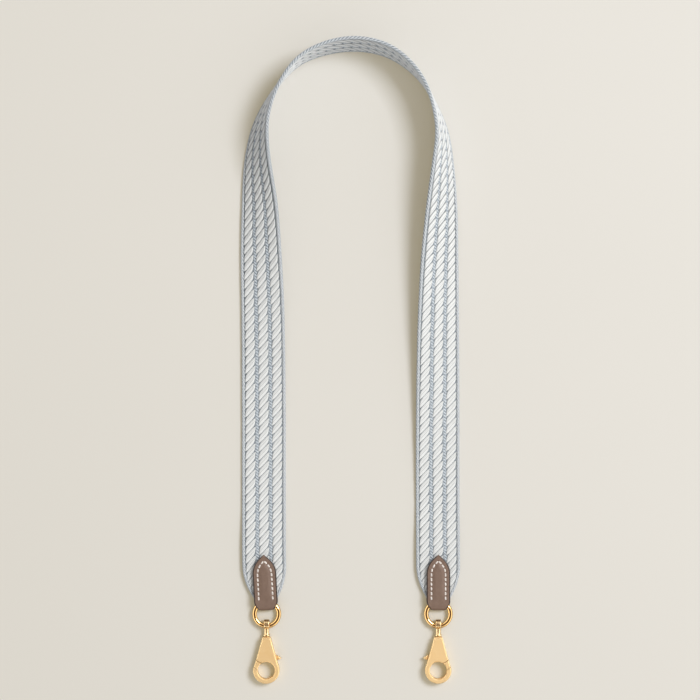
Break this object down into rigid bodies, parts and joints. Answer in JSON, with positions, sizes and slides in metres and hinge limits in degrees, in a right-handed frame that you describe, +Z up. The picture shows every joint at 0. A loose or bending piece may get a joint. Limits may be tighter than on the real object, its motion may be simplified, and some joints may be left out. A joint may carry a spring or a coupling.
{
  "type": "detachable bag strap",
  "caption": "Flat woven webbing bag strap laid in an arch, with stitched leather end tabs, round rings and swivel snap hooks whose sprung gates clip onto a bag.",
  "frame": {"origin": "on the surface the strap lies on, under the middle of its box", "axes": "+Z up from the surface, +Y from the snap hooks to the top of the arch, +X from the left clip to the right one"},
  "size_m": [0.125, 0.365, 0.025],
  "materials": {
    "webbing": "woven cotton, white rope ribs with blue-grey ditches and edges",
    "leather": "smooth fine-grained taupe leather with dark painted edges",
    "filler": "raw leather split",
    "thread": "waxed off-white thread",
    "polished_metal": "polished, gold plated",
    "satin_metal": "fine satin, gold plated",
    "spring_steel": "plain"
  },
  "bodies": {
    "strap": {"webbing": "webbing", "leather_tab_left": "leather", "leather_tab_right": "leather", "tab_filler_left": "filler", "tab_filler_right": "filler", "tab_thread_left": "thread", "tab_thread_right": "thread"},
    "ring_left": {"ring_left": "polished_metal"},
    "eye_left": {"swivel_eye_left": "polished_metal"},
    "hook_left": {"hook_body_left": "satin_metal", "gate_pin_left": "spring_steel", "gate_spring_left": "spring_steel"},
    "gate_left": {"gate_lever_left": "satin_metal"},
    "ring_right": {"ring_right": "polished_metal"},
    "eye_right": {"swivel_eye_right": "polished_metal"},
    "hook_right": {"hook_body_right": "satin_metal", "gate_pin_right": "spring_steel", "gate_spring_right": "spring_steel"},
    "gate_right": {"gate_lever_right": "satin_metal"}
  },
  "joints": [
    {"name": "ring_left_tilt", "type": "hinge", "parent": "strap", "child": "ring_left", "pos_m": [-0.04791, -0.13614, 0.0028], "axis": [0.9987, 0.0506, 0], "range_deg": [-60, 60], "deforming": ["leather_tab_left"]},
    {"name": "eye_left_swing", "type": "hinge", "parent": "ring_left", "child": "eye_left", "pos_m": [-0.0476, -0.14993, 0.0028], "axis": [1, -0.0052, 0], "range_deg": [-90, 90]},
    {"name": "hook_left_swivel", "type": "hinge", "parent": "eye_left", "child": "hook_left", "pos_m": [-0.04773, -0.175, 0.0028], "axis": [0.0052, 1, 0], "continuous": true},
    {"name": "gate_left_open", "type": "hinge", "parent": "hook_left", "child": "gate_left", "pos_m": [-0.04968, -0.16599, 0.0028], "axis": [0, 0, 1], "range_deg": [0, 24], "stiffness_Nm_per_rad": 0.03, "springref_deg": -28.65, "deforming": ["gate_spring_left"]},
    {"name": "ring_right_tilt", "type": "hinge", "parent": "strap", "child": "ring_right", "pos_m": [0.05005, -0.13613, 0.0028], "axis": [1, 0, 0], "range_deg": [-60, 60], "deforming": ["leather_tab_right"]},
    {"name": "eye_right_swing", "type": "hinge", "parent": "ring_right", "child": "eye_right", "pos_m": [0.05003, -0.14993, 0.0028], "axis": [1, -0.0035, 0], "range_deg": [-90, 90]},
    {"name": "hook_right_swivel", "type": "hinge", "parent": "eye_right", "child": "hook_right", "pos_m": [0.04994, -0.175, 0.0028], "axis": [0.0035, 1, 0], "continuous": true},
    {"name": "gate_right_open", "type": "hinge", "parent": "hook_right", "child": "gate_right", "pos_m": [0.05197, -0.16601, 0.0028], "axis": [0, 0, -1], "range_deg": [0, 24], "stiffness_Nm_per_rad": 0.03, "springref_deg": -28.65, "deforming": ["gate_spring_right"]}
  ]
}
